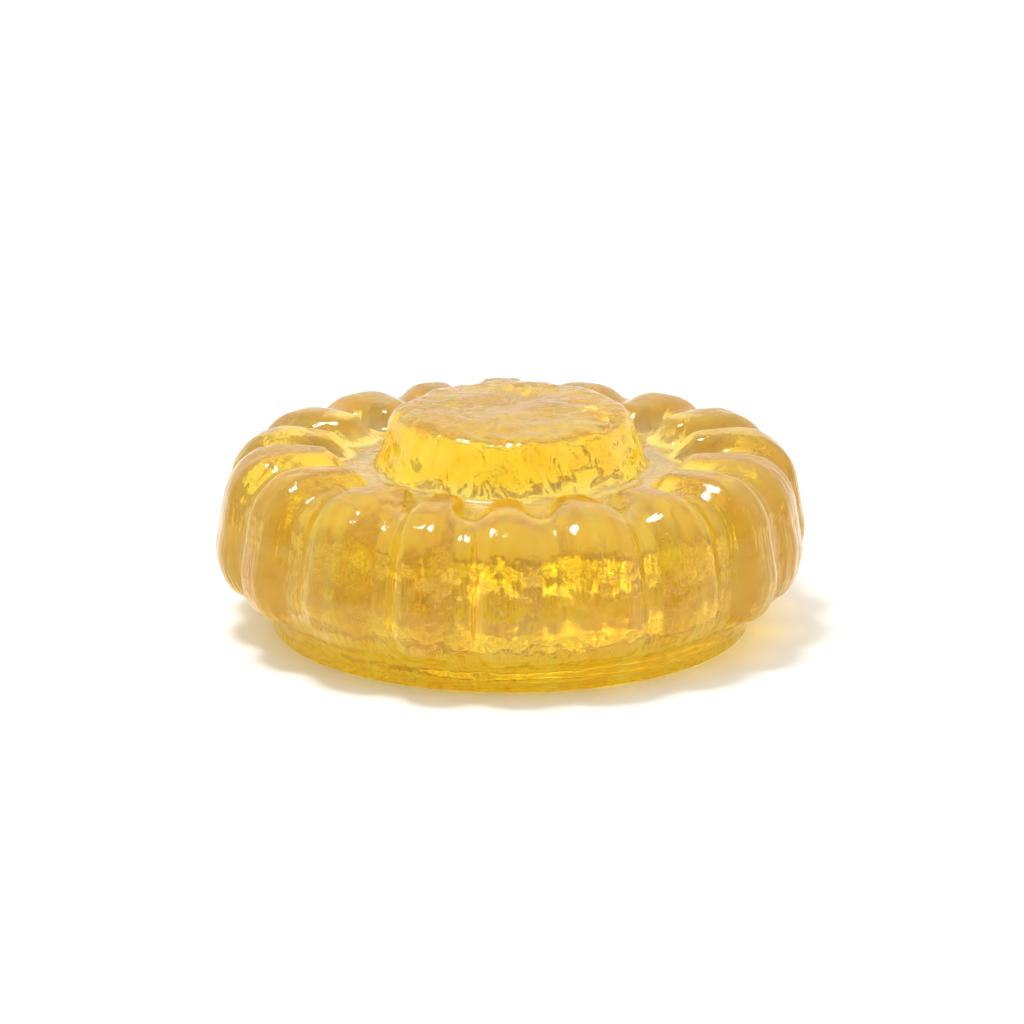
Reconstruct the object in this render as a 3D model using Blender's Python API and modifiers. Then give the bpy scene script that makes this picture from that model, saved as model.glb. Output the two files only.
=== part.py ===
"""Honey mint pastille: one piece of clear boiled sugar, moulded as a squat fluted drum.

The drum lies on its flat base. Eighteen uneven lobes run up its side, round over the rim and go on
across the face as petals. A ring-shaped hollow parts the petals from a round flat boss in the
middle, and reaches out between the petal tips like the arms of a star.

Lengths are in metres and +Z is up. The origin is at the centre of the base.
"""

import math
import random

import bmesh
import bpy
from mathutils import Vector

MM = 0.001
NAME = "pastille"
SEED = 14

# Driving dimensions. The rounding of the side's corner leaves the drum 22 mm across its lobes.
SIDE_CORNER_RADIUS = 11.15 * MM
SIDE_CORNER_HEIGHT = 2.3 * MM
SIDE_ROUNDING = 2.2 * MM
RIM_RADIUS = 10.3 * MM
RIM_ROUNDING = 2.2 * MM
PETAL_HEIGHT = 7.0 * MM
PETAL_CROWN = 0.1 * MM
PETAL_TIP_ROUNDING = 0.4 * MM
FOOT_RADIUS = 8.9 * MM
FOOT_HEIGHT = 0.4 * MM
BOSS_RADIUS = 4.25 * MM
BOSS_FOOT_RADIUS = 5.0 * MM
BOSS_ROUNDING = 0.7 * MM
BOSS_HEIGHT = 8.2 * MM
RECESS_HEIGHT = 6.0 * MM
PETAL_TIP_RADIUS = 5.9 * MM
SMALL_ROUNDING = 0.1 * MM

# Lobes, and the rounded ends that they have on the face and above the foot
LOBES = 18
LOBE_SHARE = 0.82
LOBE_SHOULDER = 0.75
GROOVE_DEPTH = 0.5 * MM
TIP_BLUNTNESS = 2.2
STAR_ARM_LENGTH = 1.6 * MM
PETAL_TIP_SLOPE = 0.9 * MM
LOBE_END_HEIGHT = 1.1 * MM
LOBE_END_LENGTH = 0.9 * MM
LOBE_END_SLOPE = 0.7 * MM

# Unevenness left by the mould and the cooling
LOBE_WIDTH_SPREAD = 0.2
GROOVE_DEPTH_SPREAD = 0.3
CREST_REACH_SPREAD = 0.12 * MM
ROUND_WOBBLE = 0.1 * MM
FACE_WOBBLE = 0.08 * MM
FACE_LEAN = 0.012
OVAL_TURN = 0.6
TRIANGLE_TURN = 2.1
FACE_TURN = 1.0
LEAN_TURN = -2.4

# Fineness of the mesh
COLUMNS_PER_LOBE = 8
COLUMNS = LOBES * COLUMNS_PER_LOBE
MERGE_DISTANCE = 0.001 * MM

# Look
HONEY = (0.83, 0.52, 0.09, 1.0)
ROUGHNESS = 0.06


def clear_scene():
    """Removes every object of the scene."""
    for thing in list(bpy.data.objects):
        bpy.data.objects.remove(thing, do_unlink=True)


def smooth(value):
    """0 below 0, 1 above 1 and a soft S between."""
    value = min(max(value, 0.0), 1.0)
    return value * value * (3.0 - 2.0 * value)


def rounded_corner(before, corner, after, radius, steps):
    """Points on the arc that rounds a corner, from the side of `before` to the side of `after`."""
    towards_before = (before - corner).normalized()
    towards_after = (after - corner).normalized()
    half_angle = towards_before.angle(towards_after) / 2.0
    tangent = radius / math.tan(half_angle)
    middle = corner + (towards_before + towards_after).normalized() * radius / math.sin(half_angle)
    start = corner + towards_before * tangent - middle
    end = corner + towards_after * tangent - middle
    sweep = -start.angle_signed(end)
    points = []
    for step in range(steps + 1):
        turn = sweep * step / steps
        across = start.x * math.cos(turn) - start.y * math.sin(turn)
        up = start.x * math.sin(turn) + start.y * math.cos(turn)
        points.append(middle + Vector((across, up)))
    return points


def outline():
    """Half outline through a lobe's crest, from the middle of the boss out and down to the base.

    Each corner has its radius and height, the radius that rounds it, the steps of that arc, and
    the number of equal pieces in the straight stretch that leads to it.
    """
    corners = [
        (BOSS_RADIUS, BOSS_HEIGHT, BOSS_ROUNDING, 4, 2),
        (BOSS_FOOT_RADIUS, RECESS_HEIGHT, SMALL_ROUNDING, 2, 2),
        (PETAL_TIP_RADIUS, RECESS_HEIGHT, SMALL_ROUNDING, 1, 1),
        (PETAL_TIP_RADIUS + PETAL_TIP_SLOPE, PETAL_HEIGHT - PETAL_CROWN, PETAL_TIP_ROUNDING, 2, 1),
        (RIM_RADIUS, PETAL_HEIGHT + PETAL_CROWN, RIM_ROUNDING, 7, 3),
        (SIDE_CORNER_RADIUS, SIDE_CORNER_HEIGHT, SIDE_ROUNDING, 5, 2),
        (FOOT_RADIUS, FOOT_HEIGHT, SMALL_ROUNDING, 1, 2),
        (FOOT_RADIUS, 0.0, SMALL_ROUNDING, 1, 1),
    ]
    start = Vector((0.0, BOSS_HEIGHT))
    end = Vector((0.0, 0.0))
    places = [start] + [Vector(corner[:2]) for corner in corners] + [end]
    points = [start]
    for index, (_, _, radius, steps, pieces) in enumerate(corners, 1):
        arc = rounded_corner(*places[index - 1:index + 2], radius, steps)
        stretch_start = points[-1]
        for piece in range(1, pieces):
            points.append(stretch_start.lerp(arc[0], piece / pieces))
        points.extend(arc)
    points.append(end)
    return points


def turned_blank():
    """The drum before its lobes: the outline turned once round the upright axis."""
    points = outline()
    mesh = bpy.data.meshes.new("outline")
    edges = [(index, index + 1) for index in range(len(points) - 1)]
    mesh.from_pydata([(point.x, 0.0, point.y) for point in points], edges, [])
    profile = bpy.data.objects.new("outline", mesh)
    bpy.context.scene.collection.objects.link(profile)
    screw = profile.modifiers.new("turn", "SCREW")
    screw.axis = "Z"
    screw.angle = math.tau
    screw.steps = COLUMNS
    screw.render_steps = COLUMNS
    screw.use_merge_vertices = True
    screw.merge_threshold = MERGE_DISTANCE
    graph = bpy.context.evaluated_depsgraph_get()
    blank = bpy.data.meshes.new_from_object(profile.evaluated_get(graph))
    bpy.data.objects.remove(profile, do_unlink=True)
    bpy.data.meshes.remove(mesh)
    return blank


def draw_lobes():
    """Each lobe's edges as angles, the depth of its groove and how far its crest stands out."""
    draw = random.Random(SEED)
    widths = [1.0 + draw.uniform(-LOBE_WIDTH_SPREAD, LOBE_WIDTH_SPREAD) for _ in range(LOBES)]
    depths = [1.0 + draw.uniform(-GROOVE_DEPTH_SPREAD, GROOVE_DEPTH_SPREAD) for _ in range(LOBES)]
    reaches = [draw.uniform(-CREST_REACH_SPREAD, CREST_REACH_SPREAD) for _ in range(LOBES)]
    edges = [0.0]
    for width in widths:
        edges.append(edges[-1] + width * math.tau / sum(widths))
    return edges, depths, reaches


def off_crest(across):
    """How far a place is from a lobe's crest: 0 on it, 1 from the lobe's foot to mid-groove."""
    return min(abs(across) / LOBE_SHARE, 1.0)


def end_shift(off, length):
    """How much later a lobe begins beside its crest than on it, which rounds its end."""
    return length * (1.0 - max(1.0 - off ** TIP_BLUNTNESS, 0.0) ** (1.0 / TIP_BLUNTNESS))


def lobe_rise(radius, height, off):
    """How much of a lobe stands at a place: 1 on its crest, 0 in a groove and past its ends."""
    above_end = height - LOBE_END_HEIGHT - end_shift(off, LOBE_END_LENGTH)
    past_tip = radius - PETAL_TIP_RADIUS
    crown = math.sin(min((1.0 - off) / LOBE_SHOULDER, 1.0) * math.pi / 2.0)
    return crown * smooth(above_end / LOBE_END_SLOPE) * smooth(past_tip / PETAL_TIP_SLOPE)


def star_share(radius, off):
    """How much of the petal's height the hollow takes between two petal tips."""
    out = radius - PETAL_TIP_RADIUS
    here = smooth(out / PETAL_TIP_SLOPE)
    later = smooth((out - end_shift(off, STAR_ARM_LENGTH)) / PETAL_TIP_SLOPE)
    return (here - later) / here if here > 0.0 else 0.0


def shape_lobes(mesh):
    """Sinks the grooves and the star's arms into the turned blank, and makes it uneven."""
    edges, depths, reaches = draw_lobes()
    model = bmesh.new()
    model.from_mesh(mesh)
    bmesh.ops.recalc_face_normals(model, faces=model.faces)
    model.normal_update()
    moved = {}
    for vert in model.verts:
        radius = math.hypot(vert.co.x, vert.co.y)
        height = vert.co.z
        column = round(math.atan2(vert.co.y, vert.co.x) / math.tau * COLUMNS) % COLUMNS
        lobe, step = divmod(column, COLUMNS_PER_LOBE)
        share = step / COLUMNS_PER_LOBE
        across = 2.0 * share - 1.0
        angle = edges[lobe] + share * (edges[lobe + 1] - edges[lobe])
        neighbour = (lobe + (1 if across > 0.0 else -1)) % LOBES
        depth = GROOVE_DEPTH * (depths[lobe] + depths[neighbour]) / 2.0
        off = off_crest(across)

        rise = lobe_rise(radius, height, off)
        above_foot = smooth((height - FOOT_HEIGHT) / LOBE_END_SLOPE)
        outside_recess = smooth((radius - PETAL_TIP_RADIUS) / PETAL_TIP_SLOPE)
        sink = depth * (1.0 - rise) * above_foot * outside_recess - reaches[lobe] * rise
        lean = math.atan2(vert.normal.z, math.hypot(vert.normal.x, vert.normal.y))
        star_depth = max(height - RECESS_HEIGHT, 0.0) * star_share(radius, off)
        radius -= sink * math.cos(lean)
        height -= max(sink * math.sin(lean), star_depth)

        swell = above_foot * radius / RIM_RADIUS
        radius += ROUND_WOBBLE * swell * math.sin(2.0 * angle + OVAL_TURN)
        radius += ROUND_WOBBLE * swell * math.sin(3.0 * angle + TRIANGLE_TURN) / 2.0
        height += FACE_WOBBLE * swell * math.sin(2.0 * angle + FACE_TURN)
        height += FACE_LEAN * smooth(height / BOSS_HEIGHT) * radius * math.cos(angle + LEAN_TURN)
        moved[vert] = (radius * math.cos(angle), radius * math.sin(angle), height)
    for vert, place in moved.items():
        vert.co = place
    model.to_mesh(mesh)
    model.free()


def settle_on_base(mesh):
    """Moves the mesh so that the origin is in the middle of its underside."""
    low = [min(vert.co[axis] for vert in mesh.vertices) for axis in range(3)]
    high = [max(vert.co[axis] for vert in mesh.vertices) for axis in range(3)]
    middle = Vector(((low[0] + high[0]) / 2.0, (low[1] + high[1]) / 2.0, low[2]))
    for vert in mesh.vertices:
        vert.co -= middle


def honey_sugar():
    """Clear boiled sugar, honey yellow and glossy."""
    material = bpy.data.materials.new("honey_sugar")
    material.use_nodes = True
    shader = material.node_tree.nodes["Principled BSDF"]
    shader.inputs["Base Color"].default_value = HONEY
    shader.inputs["Roughness"].default_value = ROUGHNESS
    shader.inputs["Metallic"].default_value = 0.0
    return material


def main():
    """Makes the pastille and puts it in its own collection."""
    clear_scene()
    mesh = turned_blank()
    mesh.name = NAME
    shape_lobes(mesh)
    settle_on_base(mesh)
    mesh.shade_smooth()
    mesh.materials.append(honey_sugar())
    collection = bpy.data.collections.new("honey_mint_pastille")
    bpy.context.scene.collection.children.link(collection)
    collection.objects.link(bpy.data.objects.new(NAME, mesh))


main()
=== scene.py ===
"""Dresses the honey mint pastille: its clear moulded sugar, the bubbles in it and a white studio."""

import math
import random

import bmesh
import bpy
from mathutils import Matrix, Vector, noise


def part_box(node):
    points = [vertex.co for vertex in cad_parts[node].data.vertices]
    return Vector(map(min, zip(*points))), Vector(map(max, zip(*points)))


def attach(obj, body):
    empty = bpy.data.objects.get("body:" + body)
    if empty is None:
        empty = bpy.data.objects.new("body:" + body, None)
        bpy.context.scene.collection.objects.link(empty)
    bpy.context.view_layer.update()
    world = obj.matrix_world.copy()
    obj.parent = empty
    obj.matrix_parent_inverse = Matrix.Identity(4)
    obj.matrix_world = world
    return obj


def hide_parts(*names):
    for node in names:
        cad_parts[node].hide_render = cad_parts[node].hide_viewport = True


bl_info = {
    "name": "Honey Mint Pastille",
    "version": (1, 0, 0),
    "blender": (4, 5, 0),
    "location": "3D View > Sidebar > Pastille",
    "description": "Models a fluted pastille of clear boiled sugar round its packed frame",
    "category": "Object",
}

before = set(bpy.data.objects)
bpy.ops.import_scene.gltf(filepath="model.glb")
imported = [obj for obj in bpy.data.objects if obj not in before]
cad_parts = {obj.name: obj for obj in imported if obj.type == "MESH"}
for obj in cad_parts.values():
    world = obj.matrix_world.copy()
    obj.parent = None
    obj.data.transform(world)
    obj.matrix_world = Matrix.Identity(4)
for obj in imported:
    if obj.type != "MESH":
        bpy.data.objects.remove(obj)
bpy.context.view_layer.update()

MM = 0.001
NODE = "pastille"
BODY = "root"

# The unevenness that the mould and the cooling left, which the frame's solid has too
MOULD_SEED = 14
LOBE_SHARE = 0.82
LOBE_SHOULDER = 0.75
TIP_BLUNTNESS = 2.2
LOBE_WIDTH_SPREAD = 0.2
GROOVE_DEPTH_SPREAD = 0.3
CREST_REACH_SPREAD = 0.12 * MM
ROUND_WOBBLE = 0.1 * MM
FACE_WOBBLE = 0.08 * MM
FACE_LEAN = 0.012
OVAL_TURN = 0.6
TRIANGLE_TURN = 2.1
FACE_TURN = 1.0
LEAN_TURN = -2.4

# How fine the turned mesh is
COLUMNS_PER_LOBE = 32
RING_SPACING = 0.15 * MM
FLAT_RING_SPACING = 0.5 * MM
ARC_SPACING = 0.13 * MM

# The wrinkles come in patches. The places say where in the noise the patches and the boss's
# swells are read, so that they differ.
PATCH_PLACE = Vector((7.0, 3.0, 5.0))
PATCH_EDGE = 2.0
PATCH_SHARE = 0.55
BOSS_PLACE = Vector((2.0, 9.0, 4.0))
BOSS_ROUGHNESS = 1.5
WRINKLE_BEND = 1.5
WRINKLE_OCTAVES = 3
FINER = 2.1
FAINTER = 0.5

# How much the face's edges have run together, and how far inside the rim that ends
MELT_PASSES = 14
MELT_FACTOR = 0.5
MELT_MARGIN = 1.0 * MM

# Where the skin's unevenness fades, so that the pastille still rests on a flat ring
FLOOR_CLEARANCE = 0.05 * MM
FLOOR_FADE = 0.5 * MM
BASE_RING = 1.5 * MM
BOSS_FADE = 0.3 * MM
BOSS_MIDDLE = 1.5 * MM

# Square root of the smallest bubble's size against the largest's
LEAST_BUBBLE = 0.25

# Shares of the fine streaks in the colour, and of their relief on the face
STREAK_TINT = 0.45
FACE_STREAKS = 0.15
SHOULDER_DROP = 0.6 * MM

# Noise values between which the colour goes from deep to pale, and the skin from glossy to dull
TINT_RANGE = (0.4, 0.6)
DULL_RANGE = (0.4, 0.65)
DULL_PATCH = 4.0 * MM

# Heights over the hollow's floor, and a length past its arms, over which the paler colour painted there
# as a reflection of the white backdrop fades
HOLLOW_LOW = 0.2 * MM
HOLLOW_HIGH = 0.7 * MM
HOLLOW_EDGE = 0.8 * MM

# The studio. Directions are parts of a unit vector: y to the backdrop, z straight up.
KEY_PLACE = Vector((-30.0, -10.0, 130.0)) * MM
FLOOR_SIZE = 2.0
FLOOR_DROP = 0.03 * MM
ROOM_DIRECTIONS = (-1.0, -0.3)
SKY_DIRECTIONS = (0.3, 1.0)
CLEAR_BOUNCES = 18
MIRROR_BOUNCES = 12


class PastilleShape(bpy.types.PropertyGroup):
    """Sizes of the moulded drum"""

    side_corner_radius: bpy.props.FloatProperty(
        name="Side Corner Radius", description="Where side and chamfer would meet, from the axis",
        default=11.15 * MM, unit="LENGTH")
    side_corner_height: bpy.props.FloatProperty(
        name="Side Corner Height", description="Where side and chamfer would meet, above the base",
        default=2.3 * MM, unit="LENGTH")
    side_rounding: bpy.props.FloatProperty(
        name="Side Rounding", description="Radius that rounds the widest part of the drum",
        default=2.2 * MM, unit="LENGTH")
    rim_radius: bpy.props.FloatProperty(
        name="Rim Radius", description="Where side and face would meet, from the axis",
        default=10.3 * MM, unit="LENGTH")
    rim_rounding: bpy.props.FloatProperty(
        name="Rim Rounding", description="Radius that rounds the lobes over the rim",
        default=2.2 * MM, unit="LENGTH")
    petal_height: bpy.props.FloatProperty(
        name="Petal Height", description="Height of the petals' crests",
        default=7.0 * MM, unit="LENGTH")
    petal_crown: bpy.props.FloatProperty(
        name="Petal Crown", description="How much a petal rises from its middle to the rim",
        default=0.1 * MM, unit="LENGTH")
    petal_tip_radius: bpy.props.FloatProperty(
        name="Petal Tip Radius", description="Where the petals begin, from the axis",
        default=5.9 * MM, unit="LENGTH")
    petal_tip_slope: bpy.props.FloatProperty(
        name="Petal Tip Slope", description="Length over which a petal's tip rises",
        default=0.9 * MM, unit="LENGTH")
    petal_tip_rounding: bpy.props.FloatProperty(
        name="Petal Tip Rounding", description="Radius that rounds a petal's tip",
        default=0.4 * MM, unit="LENGTH")
    foot_radius: bpy.props.FloatProperty(
        name="Foot Radius", description="Radius of the thin foot under the chamfer",
        default=8.9 * MM, unit="LENGTH")
    foot_height: bpy.props.FloatProperty(
        name="Foot Height", description="Height of the thin foot",
        default=0.4 * MM, unit="LENGTH")
    boss_radius: bpy.props.FloatProperty(
        name="Boss Radius", description="Radius of the raised boss at its top",
        default=4.25 * MM, unit="LENGTH")
    boss_foot_radius: bpy.props.FloatProperty(
        name="Boss Foot Radius", description="Radius of the boss where it meets the hollow",
        default=5.0 * MM, unit="LENGTH")
    boss_rounding: bpy.props.FloatProperty(
        name="Boss Rounding", description="Radius that rounds the boss's rim",
        default=0.7 * MM, unit="LENGTH")
    boss_height: bpy.props.FloatProperty(
        name="Boss Height", description="Height of the boss's flat top",
        default=8.2 * MM, unit="LENGTH")
    recess_height: bpy.props.FloatProperty(
        name="Recess Height", description="Height of the hollow's floor round the boss",
        default=6.0 * MM, unit="LENGTH")
    small_rounding: bpy.props.FloatProperty(
        name="Small Rounding", description="Radius that softens the sharp inner corners and the foot",
        default=0.1 * MM, unit="LENGTH")
    lobes: bpy.props.IntProperty(
        name="Lobes", description="Number of lobes round the drum", default=18, min=3)
    groove_depth: bpy.props.FloatProperty(
        name="Groove Depth", description="Mean depth of the grooves between lobes",
        default=0.5 * MM, unit="LENGTH")
    star_arm_length: bpy.props.FloatProperty(
        name="Star Arm Length", description="How far the hollow reaches out between petal tips",
        default=1.6 * MM, unit="LENGTH")
    lobe_end_height: bpy.props.FloatProperty(
        name="Lobe End Height", description="Height of the lobes' rounded lower ends",
        default=1.1 * MM, unit="LENGTH")
    lobe_end_length: bpy.props.FloatProperty(
        name="Lobe End Length", description="Length over which a lobe's lower end is rounded",
        default=0.9 * MM, unit="LENGTH")
    lobe_end_slope: bpy.props.FloatProperty(
        name="Lobe End Slope", description="Length over which a lobe's lower end rises",
        default=0.7 * MM, unit="LENGTH")
    wrinkle_height: bpy.props.FloatProperty(
        name="Wrinkle Height", description="Height of the wrinkles that cooling left in the skin",
        default=0.055 * MM, unit="LENGTH")
    wrinkle_spacing: bpy.props.FloatProperty(
        name="Wrinkle Spacing", description="Typical distance between wrinkles",
        default=0.9 * MM, unit="LENGTH")
    swell_height: bpy.props.FloatProperty(
        name="Swell Height", description="Height of the broad swells of the skin",
        default=0.09 * MM, unit="LENGTH")
    swell_spacing: bpy.props.FloatProperty(
        name="Swell Spacing", description="Typical distance between broad swells",
        default=3.5 * MM, unit="LENGTH")
    patch_spacing: bpy.props.FloatProperty(
        name="Patch Spacing", description="Typical distance between patches of wrinkles",
        default=4.55 * MM, unit="LENGTH")
    boss_swell_height: bpy.props.FloatProperty(
        name="Boss Swell Height", description="Height of the swells that the boss has besides",
        default=0.13 * MM, unit="LENGTH")
    boss_swell_spacing: bpy.props.FloatProperty(
        name="Boss Swell Spacing", description="Typical distance between the boss's own swells",
        default=1.5 * MM, unit="LENGTH")
    bubbles: bpy.props.IntProperty(
        name="Bubbles", description="Number of tiny bubbles in the sugar", default=90, min=0)
    largest_bubble: bpy.props.FloatProperty(
        name="Largest Bubble", description="Radius of the largest bubble",
        default=0.2 * MM, unit="LENGTH")


class SugarLook(bpy.types.PropertyGroup):
    """Colours and finish of the boiled sugar"""

    deep_tint: bpy.props.StringProperty(
        name="Deep Tint", description="Colour of the deeper bands, however thin, as sRGB hex",
        default="F3C42C")
    pale_tint: bpy.props.StringProperty(
        name="Pale Tint", description="Colour of the paler bands, however thin, as sRGB hex",
        default="F1DA59")
    honey: bpy.props.StringProperty(
        name="Honey", description="Colour that white light keeps after the honey depth, as sRGB hex",
        default="F8EF80")
    honey_depth: bpy.props.FloatProperty(
        name="Honey Depth", description="Length of sugar that gives the honey colour",
        default=12.0 * MM, unit="LENGTH")
    band_width: bpy.props.FloatProperty(
        name="Band Width", description="Width of the deeper and paler bands",
        default=1.3 * MM, unit="LENGTH")
    band_length: bpy.props.FloatProperty(
        name="Band Length", description="Length of the deeper and paler bands",
        default=6.0 * MM, unit="LENGTH")
    # The hollow's colour is a painted reflection of the white backdrop on the sugar round the boss,
    # painted over the honey; the bubbles take it as their tint too
    hollow: bpy.props.StringProperty(
        name="Hollow", description="Paler colour of the thin sugar round the boss, as sRGB hex",
        default="F9ECC2")
    clearness: bpy.props.FloatProperty(
        name="Clearness", description="Share of the light that the sugar lets through unscattered",
        default=0.86, subtype="FACTOR")
    ior: bpy.props.FloatProperty(
        name="IOR", description="Index of refraction of boiled sugar", default=1.5)
    gloss: bpy.props.FloatProperty(
        name="Gloss Roughness", description="Roughness where the mould was smooth",
        default=0.04, subtype="FACTOR")
    dull: bpy.props.FloatProperty(
        name="Dull Roughness", description="Roughness where the skin is slightly dulled",
        default=0.12, subtype="FACTOR")
    grain_width: bpy.props.FloatProperty(
        name="Grain Width", description="Width of the fine upright streaks on the side",
        default=0.5 * MM, unit="LENGTH")
    grain_length: bpy.props.FloatProperty(
        name="Grain Length", description="Length of the fine upright streaks on the side",
        default=4.0 * MM, unit="LENGTH")
    grain_height: bpy.props.FloatProperty(
        name="Grain Height", description="Height of the fine upright streaks",
        default=0.13 * MM, unit="LENGTH")
    peel_size: bpy.props.FloatProperty(
        name="Peel Size", description="Size of the fine dimples of the skin",
        default=0.5 * MM, unit="LENGTH")
    peel_height: bpy.props.FloatProperty(
        name="Peel Height", description="Height of the fine dimples of the skin",
        default=0.032 * MM, unit="LENGTH")


class StudioLook(bpy.types.PropertyGroup):
    """Camera, light and floor"""

    camera_elevation: bpy.props.FloatProperty(
        name="Camera Elevation", description="Angle of the camera above the face's plane",
        default=math.radians(16.5), subtype="ANGLE")
    camera_distance: bpy.props.FloatProperty(
        name="Camera Distance", description="Distance from the camera to the pastille",
        default=212.0 * MM, unit="LENGTH")
    camera_lens: bpy.props.FloatProperty(
        name="Camera Lens", description="Focal length, in millimetres", default=200.0)
    floor: bpy.props.StringProperty(
        name="Floor", description="Colour of the plain floor, as sRGB hex", default="FBFAF8")
    key_strength: bpy.props.FloatProperty(
        name="Key Brightness", description="Brightness of the overhead lamp against white",
        default=32.0)
    key_size: bpy.props.FloatProperty(
        name="Key Size", description="Side of the square overhead lamp",
        default=32.0 * MM, unit="LENGTH")
    backdrop_strength: bpy.props.FloatProperty(
        name="Backdrop Brightness", description="Brightness of the white backdrop",
        default=1.0)
    sky_strength: bpy.props.FloatProperty(
        name="Sky Brightness", description="Brightness straight above, against the backdrop's",
        default=1.25)
    room_strength: bpy.props.FloatProperty(
        name="Room Brightness", description="Brightness of the dimmer room behind the camera",
        default=0.4)


def linear(hex_colour):
    """A linear RGBA colour from sRGB hex."""
    values = [int(hex_colour[index:index + 2], 16) / 255.0 for index in (0, 2, 4)]
    parts = [v / 12.92 if v <= 0.04045 else ((v + 0.055) / 1.055) ** 2.4 for v in values]
    return (*parts, 1.0)


def add_node(tree, kind, settings=None, **links):
    """Adds a node with its settings and links. A link's name is an input, with _ for a space."""
    node = tree.nodes.new(kind)
    for name, value in (settings or {}).items():
        setattr(node, name, value)
    for name, value in links.items():
        socket = node.inputs[int(name[1:])] if name[1:].isdigit() else node.inputs[name.replace("_", " ")]
        if isinstance(value, bpy.types.NodeSocket):
            tree.links.new(value, socket)
        else:
            socket.default_value = value
    return node


def smooth(value):
    """0 below 0, 1 above 1 and a soft S between."""
    value = min(max(value, 0.0), 1.0)
    return value * value * (3.0 - 2.0 * value)


def rounded_corner(before, corner, after, radius):
    """Points on the arc that rounds a corner, from the side of `before` to the side of `after`."""
    towards_before = (before - corner).normalized()
    towards_after = (after - corner).normalized()
    half_angle = towards_before.angle(towards_after) / 2.0
    tangent = radius / math.tan(half_angle)
    middle = corner + (towards_before + towards_after).normalized() * radius / math.sin(half_angle)
    start = corner + towards_before * tangent - middle
    end = corner + towards_after * tangent - middle
    sweep = -start.angle_signed(end)
    steps = max(3, math.ceil(abs(sweep) * radius / ARC_SPACING))
    points = []
    for step in range(steps + 1):
        turn = sweep * step / steps
        across = start.x * math.cos(turn) - start.y * math.sin(turn)
        up = start.x * math.sin(turn) + start.y * math.cos(turn)
        points.append(middle + Vector((across, up)))
    return points


def outline(shape):
    """Half outline through a lobe's crest, from the middle of the boss out and down to the base.

    Each corner has its radius and height, the radius that rounds it, and the spacing of the rings
    in the straight stretch that leads to it.
    """
    tip_top = shape.petal_tip_radius + shape.petal_tip_slope
    petal_low = shape.petal_height - shape.petal_crown
    petal_high = shape.petal_height + shape.petal_crown
    corners = [
        (shape.boss_radius, shape.boss_height, shape.boss_rounding, RING_SPACING),
        (shape.boss_foot_radius, shape.recess_height, shape.small_rounding, RING_SPACING),
        (shape.petal_tip_radius, shape.recess_height, shape.small_rounding, RING_SPACING),
        (tip_top, petal_low, shape.petal_tip_rounding, ARC_SPACING),
        (shape.rim_radius, petal_high, shape.rim_rounding, RING_SPACING),
        (shape.side_corner_radius, shape.side_corner_height, shape.side_rounding, RING_SPACING),
        (shape.foot_radius, shape.foot_height, shape.small_rounding, RING_SPACING),
        (shape.foot_radius, 0.0, shape.small_rounding, RING_SPACING),
    ]
    start = Vector((0.0, shape.boss_height))
    end = Vector((0.0, 0.0))
    places = [start] + [Vector(corner[:2]) for corner in corners] + [end]
    points = [start]
    for index, (_, _, radius, spacing) in enumerate(corners, 1):
        arc = rounded_corner(*places[index - 1:index + 2], radius)
        points.extend(stretch(points[-1], arc[0], spacing))
        points.extend(arc)
    points.extend(stretch(points[-1], end, FLAT_RING_SPACING))
    points.append(end)
    return points


def stretch(start, end, spacing):
    """Points between two others, evenly spaced and no further apart than the spacing."""
    pieces = max(1, math.ceil((end - start).length / spacing))
    return [start.lerp(end, piece / pieces) for piece in range(1, pieces)]


def turned_blank(shape):
    """The drum before its lobes: the outline spun once round the upright axis."""
    model = bmesh.new()
    verts = [model.verts.new((point.x, 0.0, point.y)) for point in outline(shape)]
    edges = [model.edges.new(pair) for pair in zip(verts, verts[1:])]
    bmesh.ops.spin(
        model, geom=verts + edges, cent=(0.0, 0.0, 0.0), axis=(0.0, 0.0, 1.0), dvec=(0.0, 0.0, 0.0),
        angle=math.tau, steps=shape.lobes * COLUMNS_PER_LOBE, use_merge=True, use_duplicate=False)
    bmesh.ops.remove_doubles(model, verts=model.verts, dist=0.0001 * MM)
    bmesh.ops.recalc_face_normals(model, faces=model.faces)
    model.normal_update()
    return model


def draw_lobes(shape):
    """Each lobe's edges as angles, the depth of its groove and how far its crest stands out."""
    draw = random.Random(MOULD_SEED)
    lobes = range(shape.lobes)
    widths = [1.0 + draw.uniform(-LOBE_WIDTH_SPREAD, LOBE_WIDTH_SPREAD) for _ in lobes]
    depths = [1.0 + draw.uniform(-GROOVE_DEPTH_SPREAD, GROOVE_DEPTH_SPREAD) for _ in lobes]
    reaches = [draw.uniform(-CREST_REACH_SPREAD, CREST_REACH_SPREAD) for _ in lobes]
    edges = [0.0]
    for width in widths:
        edges.append(edges[-1] + width * math.tau / sum(widths))
    return edges, depths, reaches


def off_crest(across):
    """How far a place is from a lobe's crest: 0 on it, 1 from the lobe's foot to mid-groove."""
    return min(abs(across) / LOBE_SHARE, 1.0)


def end_shift(off, length):
    """How much later a lobe begins beside its crest than on it, which rounds its end."""
    return length * (1.0 - max(1.0 - off ** TIP_BLUNTNESS, 0.0) ** (1.0 / TIP_BLUNTNESS))


def lobe_rise(shape, radius, height, off):
    """How much of a lobe stands at a place: 1 on its crest, 0 in a groove and past its ends."""
    above_end = height - shape.lobe_end_height - end_shift(off, shape.lobe_end_length)
    past_tip = radius - shape.petal_tip_radius
    crown = math.sin(min((1.0 - off) / LOBE_SHOULDER, 1.0) * math.pi / 2.0)
    lower_end = smooth(above_end / shape.lobe_end_slope)
    return crown * lower_end * smooth(past_tip / shape.petal_tip_slope)


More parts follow.
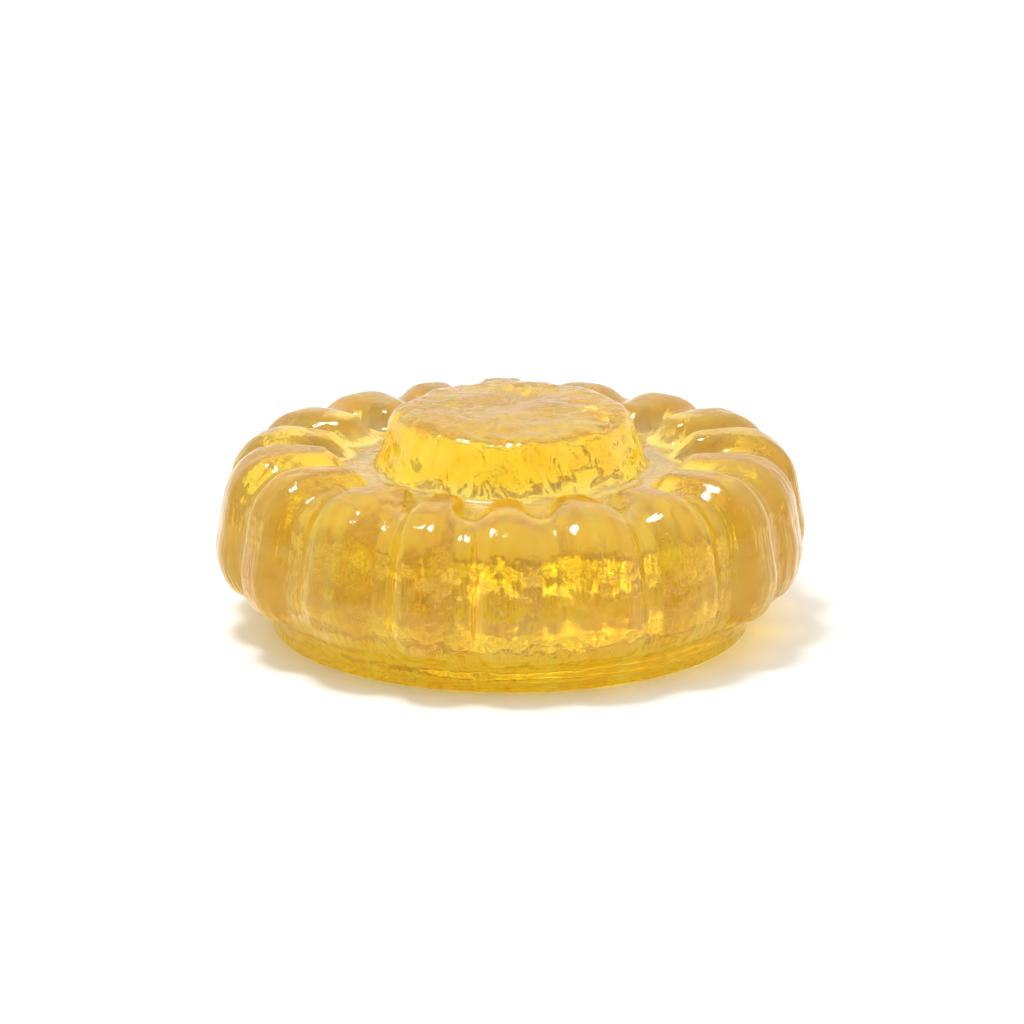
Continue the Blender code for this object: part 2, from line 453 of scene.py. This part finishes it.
def star_share(shape, radius, off):
    """How much of the petal's height the hollow takes between two petal tips."""
    out = radius - shape.petal_tip_radius
    here = smooth(out / shape.petal_tip_slope)
    later = smooth((out - end_shift(off, shape.star_arm_length)) / shape.petal_tip_slope)
    return (here - later) / here if here > 0.0 else 0.0


def shape_lobes(model, shape):
    """Sinks the grooves and the star's arms into the turned blank, and makes it uneven."""
    edges, depths, reaches = draw_lobes(shape)
    columns = shape.lobes * COLUMNS_PER_LOBE
    moved = []
    for vert in model.verts:
        radius = math.hypot(vert.co.x, vert.co.y)
        height = vert.co.z
        column = round(math.atan2(vert.co.y, vert.co.x) / math.tau * columns) % columns
        lobe, step = divmod(column, COLUMNS_PER_LOBE)
        share = step / COLUMNS_PER_LOBE
        across = 2.0 * share - 1.0
        angle = edges[lobe] + share * (edges[lobe + 1] - edges[lobe])
        near = (depths[lobe - 1] + depths[lobe]) / 2.0
        far = (depths[lobe] + depths[(lobe + 1) % shape.lobes]) / 2.0
        depth = shape.groove_depth * (near + (far - near) * smooth(share))
        off = off_crest(across)

        rise = lobe_rise(shape, radius, height, off)
        above_foot = smooth((height - shape.foot_height) / shape.lobe_end_slope)
        outside_recess = smooth((radius - shape.petal_tip_radius) / shape.petal_tip_slope)
        sink = depth * (1.0 - rise) * above_foot * outside_recess - reaches[lobe] * rise
        lean = math.atan2(vert.normal.z, math.hypot(vert.normal.x, vert.normal.y))
        star_depth = max(height - shape.recess_height, 0.0) * star_share(shape, radius, off)
        radius -= sink * math.cos(lean)
        height -= max(sink * math.sin(lean), star_depth)

        swell = above_foot * radius / shape.rim_radius
        radius += ROUND_WOBBLE * swell * math.sin(2.0 * angle + OVAL_TURN)
        radius += ROUND_WOBBLE * swell * math.sin(3.0 * angle + TRIANGLE_TURN) / 2.0
        height += FACE_WOBBLE * swell * math.sin(2.0 * angle + FACE_TURN)
        lifted = smooth(height / shape.boss_height)
        height += FACE_LEAN * lifted * radius * math.cos(angle + LEAN_TURN)
        moved.append((radius * math.cos(angle), radius * math.sin(angle), height))
    for vert, place in zip(model.verts, moved):
        vert.co = place
    model.normal_update()


def melt_face(model, shape):
    """Softens the petals' tips, the star's arms and the boss's rim, as warm sugar runs together."""
    face = []
    for vert in model.verts:
        radius = math.hypot(vert.co.x, vert.co.y)
        if vert.co.z > shape.recess_height - BOSS_FADE and radius < shape.rim_radius - MELT_MARGIN:
            face.append(vert)
    for _ in range(MELT_PASSES):
        bmesh.ops.smooth_vert(
            model, verts=face, factor=MELT_FACTOR, use_axis_x=True, use_axis_y=True, use_axis_z=True)
    model.normal_update()


def ridged(place, octaves):
    """Creased noise from about -1 to 1 whose crests are sharp, like a wrinkled skin."""
    total = 0.0
    weight = 1.0
    whole = 0.0
    for _ in range(octaves):
        total += weight * (1.0 - 2.0 * abs(noise.noise(place)))
        whole += weight
        weight *= FAINTER
        place = place * FINER
    return total / whole


def boss_share(shape, radius, height):
    """1 on the boss and 0 away from it, with a soft edge."""
    if height < shape.recess_height - BOSS_FADE:
        return 0.0
    return smooth((shape.boss_foot_radius + BOSS_FADE - radius) / BOSS_FADE)


def wrinkle_skin(model, shape):
    """Moves the skin in and out by broad swells, and by fine wrinkles that come in patches."""
    # the bend of the wrinkles reads its place in the noise from this seed
    noise.seed_set(MOULD_SEED)
    moves = []
    for vert in model.verts:
        place = vert.co
        radius = math.hypot(place.x, place.y)
        boss = boss_share(shape, radius, place.z)
        swell = shape.swell_height * noise.noise(place / shape.swell_spacing)
        own_swell = noise.noise(place / shape.boss_swell_spacing + BOSS_PLACE)
        swell += boss * shape.boss_swell_height * own_swell

        patchy = noise.noise(place / shape.patch_spacing + PATCH_PLACE)
        patch = smooth(patchy * PATCH_EDGE + PATCH_SHARE)
        on_boss = BOSS_ROUGHNESS * boss * smooth(radius / BOSS_MIDDLE)
        bend = noise.noise_vector(place / shape.swell_spacing) * WRINKLE_BEND
        wrinkle = ridged(place / shape.wrinkle_spacing + bend, WRINKLE_OCTAVES)
        move = swell + shape.wrinkle_height * max(patch, on_boss) * (wrinkle - 0.5)

        if vert.normal.z < -0.5 and place.z < FLOOR_CLEARANCE:
            # the base is a little hollow within the ring that it rests on
            inward = smooth((shape.foot_radius - radius) / BASE_RING)
            moves.append(Vector((0.0, 0.0, inward * (shape.swell_height + abs(move)))))
        else:
            moves.append(vert.normal * move * smooth((place.z - FLOOR_CLEARANCE) / FLOOR_FADE))
    for vert, move in zip(model.verts, moves):
        vert.co += move


def fit_to_frame(model):
    """Moves the finished skin so that it stands where the frame's solid does."""
    low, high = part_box(NODE)
    places = [vert.co for vert in model.verts]
    for axis in (0, 1):
        middle = (min(place[axis] for place in places) + max(place[axis] for place in places)) / 2.0
        shift = (low[axis] + high[axis]) / 2.0 - middle
        for place in places:
            place[axis] += shift
    drop = low.z - min(place.z for place in places)
    for place in places:
        place.z += drop


def new_piece(name, model, material):
    """Turns a bmesh into a smooth piece at the origin, with its material."""
    mesh = bpy.data.meshes.new(name)
    model.to_mesh(mesh)
    model.free()
    mesh.shade_smooth()
    mesh.materials.append(material)
    piece = bpy.data.objects.new(name, mesh)
    bpy.context.scene.collection.objects.link(piece)
    return piece


def absorb_by_length(tree, output, look):
    """Sugar that takes light as it passes, so that thick places are deep honey and thin ones pale."""
    kept = linear(look.honey)[:3]
    taken = [-math.log(part) / look.honey_depth for part in kept]
    # a density just over the most that any colour loses keeps every part of the colour above 0
    density = max(taken) * 1.02
    colour = [1.0 - part / density for part in taken]
    absorption = add_node(tree, "ShaderNodeVolumeAbsorption", Color=(*colour, 1.0), Density=density)
    tree.links.new(absorption.outputs[0], output.inputs["Volume"])


def reach_from_axis(tree, place):
    """The place with its height taken out, and its distance from the upright axis."""
    flat = add_node(
        tree, "ShaderNodeVectorMath", {"operation": "MULTIPLY"}, _0=place, _1=(1.0, 1.0, 0.0))
    reach = add_node(
        tree, "ShaderNodeVectorMath", {"operation": "LENGTH"}, _0=flat.outputs["Vector"])
    return flat.outputs["Vector"], reach.outputs["Value"]


def upright_cell(tree, place, radius, width, length):
    """Coordinates that run fast round the drum and slowly up it, for marks of a width and length."""
    flat, _ = reach_from_axis(tree, place)
    outwards = add_node(tree, "ShaderNodeVectorMath", {"operation": "NORMALIZE"}, _0=flat)
    around = add_node(
        tree, "ShaderNodeVectorMath", {"operation": "SCALE"}, _0=outwards.outputs["Vector"],
        Scale=radius / width)
    upwards = add_node(
        tree, "ShaderNodeVectorMath", {"operation": "MULTIPLY"}, _0=place,
        _1=(0.0, 0.0, 1.0 / length))
    cell = add_node(
        tree, "ShaderNodeVectorMath", {"operation": "ADD"}, _0=around.outputs["Vector"],
        _1=upwards.outputs["Vector"])
    return cell.outputs["Vector"]


def side_grain(tree, place, look, shape):
    """Fine streaks that run up the side below its shoulders, faint on the petals and none on the
    boss. They are drawn as wide as they need to be to show in the render."""
    cell = upright_cell(tree, place, shape.rim_radius, look.grain_width, look.grain_length)
    streaks = add_node(
        tree, "ShaderNodeTexNoise", Vector=cell, Scale=1.0, Detail=3.0, Roughness=0.6)
    _, reach = reach_from_axis(tree, place)
    outside = add_node(
        tree, "ShaderNodeMapRange", Value=reach, From_Min=shape.petal_tip_radius,
        From_Max=shape.rim_radius)
    height = add_node(tree, "ShaderNodeSeparateXYZ", Vector=place).outputs["Z"]
    below = add_node(
        tree, "ShaderNodeMapRange", Value=height,
        From_Min=shape.petal_height - shape.rim_rounding,
        From_Max=shape.petal_height - SHOULDER_DROP, To_Min=1.0, To_Max=FACE_STREAKS)
    share = add_node(
        tree, "ShaderNodeMath", {"operation": "MULTIPLY"}, _0=outside.outputs["Result"],
        _1=below.outputs["Result"])
    return add_node(
        tree, "ShaderNodeMath", {"operation": "MULTIPLY"}, _0=streaks.outputs["Fac"],
        _1=share.outputs[0]).outputs[0]


def uneven_tint(tree, place, look, shape):
    """Deeper and paler honey: upright bands on the side and petals, soft patches on the boss."""
    cell = upright_cell(tree, place, shape.rim_radius, look.band_width, look.band_length)
    bands = add_node(
        tree, "ShaderNodeTexNoise", Vector=cell, Scale=1.0, Detail=4.0, Roughness=0.6,
        Distortion=0.3)
    fine_cell = upright_cell(tree, place, shape.rim_radius, look.grain_width, look.grain_length)
    streaks = add_node(
        tree, "ShaderNodeTexNoise", Vector=fine_cell, Scale=1.0, Detail=3.0, Roughness=0.6)
    banded = add_node(
        tree, "ShaderNodeMix", {"data_type": "FLOAT"}, _0=STREAK_TINT,
        _2=bands.outputs["Fac"], _3=streaks.outputs["Fac"])
    patches = add_node(
        tree, "ShaderNodeTexNoise", Vector=place, Scale=1.0 / look.band_width, Detail=4.0,
        Roughness=0.6)
    _, reach = reach_from_axis(tree, place)
    outside = add_node(
        tree, "ShaderNodeMapRange", Value=reach, From_Min=shape.petal_tip_radius,
        From_Max=shape.petal_tip_radius + shape.petal_tip_slope)
    pattern = add_node(
        tree, "ShaderNodeMix", {"data_type": "FLOAT"}, _0=outside.outputs["Result"],
        _2=patches.outputs["Fac"], _3=banded.outputs[0])
    share = add_node(
        tree, "ShaderNodeMapRange", Value=pattern.outputs[0], From_Min=TINT_RANGE[0],
        From_Max=TINT_RANGE[1])
    return add_node(
        tree, "ShaderNodeMix", {"data_type": "RGBA"}, _0=share.outputs["Result"],
        _6=linear(look.deep_tint), _7=linear(look.pale_tint)).outputs[2]


def painted_sheen_share(tree, place, shape):
    """Where the hollow's painted reflection goes: 1 on the floor of the hollow round the boss and of its
    arms, 0 elsewhere.
    """
    height = add_node(tree, "ShaderNodeSeparateXYZ", Vector=place).outputs["Z"]
    _, reach = reach_from_axis(tree, place)
    arm_end = shape.petal_tip_radius + shape.star_arm_length
    low = add_node(
        tree, "ShaderNodeMapRange", Value=height, From_Min=shape.recess_height + HOLLOW_LOW,
        From_Max=shape.recess_height + HOLLOW_HIGH, To_Min=1.0, To_Max=0.0)
    inside = add_node(
        tree, "ShaderNodeMapRange", Value=reach, From_Min=arm_end,
        From_Max=arm_end + HOLLOW_EDGE, To_Min=1.0, To_Max=0.0)
    on_face = add_node(
        tree, "ShaderNodeMath", {"operation": "GREATER_THAN"}, _0=height,
        _1=shape.recess_height / 2.0)
    both = add_node(
        tree, "ShaderNodeMath", {"operation": "MULTIPLY"}, _0=low.outputs["Result"],
        _1=inside.outputs["Result"])
    return add_node(
        tree, "ShaderNodeMath", {"operation": "MULTIPLY"}, _0=both.outputs[0],
        _1=on_face.outputs[0]).outputs[0]


def boiled_sugar(look, shape):
    """Boiled sugar cast in a mould: glossy and clear with a slight cloud, so that light glows in
    it. Upright streaks and dimples in its skin break up what shows through, and its honey colour
    is uneven. In the hollow a paler colour is painted, a painted reflection of the white backdrop."""
    material = bpy.data.materials.new("cast_boiled_sugar")
    material.use_nodes = True
    tree = material.node_tree
    tree.nodes.clear()
    place = add_node(tree, "ShaderNodeTexCoord").outputs["Object"]
    patches = add_node(
        tree, "ShaderNodeTexNoise", Vector=place, Scale=1.0 / DULL_PATCH, Detail=3.0)
    roughness = add_node(
        tree, "ShaderNodeMapRange", Value=patches.outputs["Fac"], From_Min=DULL_RANGE[0],
        From_Max=DULL_RANGE[1], To_Min=look.gloss, To_Max=look.dull)
    grain = side_grain(tree, place, look, shape)
    streaks = add_node(
        tree, "ShaderNodeBump", Strength=1.0, Distance=look.grain_height, Height=grain)
    peel = add_node(
        tree, "ShaderNodeTexNoise", Vector=place, Scale=1.0 / look.peel_size, Detail=3.0,
        Distortion=0.4)
    dimples = add_node(
        tree, "ShaderNodeBump", Strength=1.0, Distance=look.peel_height,
        Height=peel.outputs["Fac"], Normal=streaks.outputs["Normal"])
    # a paler colour is painted in the hollow: a painted reflection of the white backdrop
    colour = add_node(
        tree, "ShaderNodeMix", {"data_type": "RGBA"}, _0=painted_sheen_share(tree, place, shape),
        _6=uneven_tint(tree, place, look, shape), _7=linear(look.hollow))
    shader = add_node(
        tree, "ShaderNodeBsdfPrincipled", Base_Color=colour.outputs[2], IOR=look.ior,
        Roughness=roughness.outputs["Result"], Normal=dimples.outputs["Normal"],
        Transmission_Weight=look.clearness)
    output = add_node(tree, "ShaderNodeOutputMaterial", Surface=shader.outputs["BSDF"])
    absorb_by_length(tree, output, look)
    return material


def bubble_film(look):
    """Air caught in boiled sugar: tiny clear beads with a bright edge."""
    material = bpy.data.materials.new("caught_air")
    material.use_nodes = True
    tree = material.node_tree
    tree.nodes.clear()
    shader = add_node(
        tree, "ShaderNodeBsdfPrincipled", Base_Color=linear(look.hollow), IOR=look.ior,
        Roughness=0.0, Transmission_Weight=1.0)
    add_node(tree, "ShaderNodeOutputMaterial", Surface=shader.outputs["BSDF"])
    return material


def white_floor(studio):
    """Matt white card: plain, pale and even, so that only soft shadow shows on it."""
    material = bpy.data.materials.new("matt_white_card")
    material.use_nodes = True
    shader = material.node_tree.nodes["Principled BSDF"]
    shader.inputs["Base Color"].default_value = linear(studio.floor)
    shader.inputs["Roughness"].default_value = 0.7
    return material


class PASTILLE_OT_body(bpy.types.Operator):
    """Model the fluted drum of clear boiled sugar"""

    bl_idname = "pastille.body"
    bl_label = "Sugar Body"

    def execute(self, context):
        shape = context.scene.pastille_shape
        model = turned_blank(shape)
        shape_lobes(model, shape)
        melt_face(model, shape)
        wrinkle_skin(model, shape)
        fit_to_frame(model)
        body = new_piece("sugar_body", model, boiled_sugar(context.scene.pastille_sugar, shape))
        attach(body, BODY)
        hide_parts(NODE)
        return {"FINISHED"}


class PASTILLE_OT_bubbles(bpy.types.Operator):
    """Scatter tiny bubbles through the sugar"""

    bl_idname = "pastille.bubbles"
    bl_label = "Bubbles"

    def execute(self, context):
        shape = context.scene.pastille_shape
        draw = random.Random(MOULD_SEED)
        model = bmesh.new()
        for _ in range(shape.bubbles):
            reach = shape.foot_radius * math.sqrt(draw.random())
            angle = draw.uniform(0.0, math.tau)
            height = draw.uniform(shape.lobe_end_height, shape.recess_height - shape.lobe_end_height)
            size = shape.largest_bubble * draw.uniform(LEAST_BUBBLE, 1.0) ** 2
            ball = bmesh.ops.create_icosphere(model, subdivisions=2, radius=size)
            bmesh.ops.translate(
                model, verts=ball["verts"],
                vec=(reach * math.cos(angle), reach * math.sin(angle), height))
        piece = new_piece("bubbles", model, bubble_film(context.scene.pastille_sugar))
        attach(piece, BODY)
        return {"FINISHED"}


def softbox(name, place, aim, side, brightness):
    """A square lamp whose face has the given brightness, aimed at a point."""
    lamp = bpy.data.lights.new(name, "AREA")
    lamp.shape = "SQUARE"
    lamp.size = side
    lamp.energy = brightness * math.pi * side * side
    holder = bpy.data.objects.new(name, lamp)
    holder.location = place
    holder.rotation_euler = (Vector(aim) - Vector(place)).to_track_quat("-Z", "Y").to_euler()
    bpy.context.scene.collection.objects.link(holder)


def surround(studio):
    """A white backdrop behind the pastille that fades to a dimmer room behind the camera."""
    world = bpy.data.worlds.new("white_surround")
    world.use_nodes = True
    tree = world.node_tree
    tree.nodes.clear()
    place = add_node(tree, "ShaderNodeTexCoord").outputs["Generated"]
    parts = add_node(tree, "ShaderNodeSeparateXYZ", Vector=place)
    strength = add_node(
        tree, "ShaderNodeMapRange", {"interpolation_type": "SMOOTHSTEP"}, Value=parts.outputs["Y"],
        From_Min=ROOM_DIRECTIONS[0], From_Max=ROOM_DIRECTIONS[1], To_Min=studio.room_strength,
        To_Max=studio.backdrop_strength)
    above = add_node(
        tree, "ShaderNodeMapRange", Value=parts.outputs["Z"], From_Min=SKY_DIRECTIONS[0],
        From_Max=SKY_DIRECTIONS[1], To_Min=1.0, To_Max=studio.sky_strength)
    whole = add_node(
        tree, "ShaderNodeMath", {"operation": "MULTIPLY"}, _0=strength.outputs["Result"],
        _1=above.outputs["Result"])
    background = add_node(
        tree, "ShaderNodeBackground", Color=(1.0, 1.0, 1.0, 1.0), Strength=whole.outputs[0])
    add_node(tree, "ShaderNodeOutputWorld", Surface=background.outputs["Background"])
    return world


class PASTILLE_OT_stage(bpy.types.Operator):
    """Set the white floor, the soft light and the camera"""

    bl_idname = "pastille.stage"
    bl_label = "Stage"

    def execute(self, context):
        studio = context.scene.pastille_studio
        model = bmesh.new()
        bmesh.ops.create_grid(model, x_segments=1, y_segments=1, size=FLOOR_SIZE)
        bmesh.ops.translate(model, verts=model.verts, vec=(0.0, 0.0, -FLOOR_DROP))
        floor = new_piece("floor", model, white_floor(studio))

        context.scene.world = surround(studio)

        low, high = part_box(NODE)
        middle = (low + high) / 2.0
        softbox("key", middle + KEY_PLACE, middle, studio.key_size, studio.key_strength)

        camera_data = bpy.data.cameras.new("camera")
        camera_data.lens = studio.camera_lens
        camera_data.clip_start = 1.0 * MM
        camera_data.clip_end = 10.0
        camera = bpy.data.objects.new("camera", camera_data)
        context.scene.collection.objects.link(camera)
        rise = math.sin(studio.camera_elevation)
        back = math.cos(studio.camera_elevation)
        camera.location = middle + Vector((0.0, -back, rise)) * studio.camera_distance
        camera.rotation_euler = (middle - camera.location).to_track_quat("-Z", "Y").to_euler()
        context.scene.camera = camera

        context.scene.view_settings.view_transform = "Standard"
        context.scene.cycles.max_bounces = CLEAR_BOUNCES
        context.scene.cycles.transmission_bounces = CLEAR_BOUNCES
        context.scene.cycles.glossy_bounces = MIRROR_BOUNCES
        return {"FINISHED"}


class PASTILLE_PT_maker(bpy.types.Panel):
    """Lists what makes the pastille"""

    bl_label = "Honey Mint Pastille"
    bl_idname = "PASTILLE_PT_maker"
    bl_space_type = "VIEW_3D"
    bl_region_type = "UI"
    bl_category = "Pastille"

    def draw(self, context):
        for step in STEPS:
            self.layout.operator(step.bl_idname)


STEPS = (PASTILLE_OT_body, PASTILLE_OT_bubbles, PASTILLE_OT_stage)
GROUPS = {
    "pastille_shape": PastilleShape,
    "pastille_sugar": SugarLook,
    "pastille_studio": StudioLook,
}


def register():
    """Registers the classes and hangs the settings on the scene."""
    for kind in (*GROUPS.values(), *STEPS, PASTILLE_PT_maker):
        bpy.utils.register_class(kind)
    for name, kind in GROUPS.items():
        setattr(bpy.types.Scene, name, bpy.props.PointerProperty(type=kind))


def unregister():
    """Takes the settings and the classes away again."""
    for name in GROUPS:
        delattr(bpy.types.Scene, name)
    for kind in reversed((*GROUPS.values(), *STEPS, PASTILLE_PT_maker)):
        bpy.utils.unregister_class(kind)


def main():
    """Makes every piece and the stage."""
    register()
    bpy.ops.pastille.body()
    bpy.ops.pastille.bubbles()
    bpy.ops.pastille.stage()


if __name__ == "__main__":
    main()
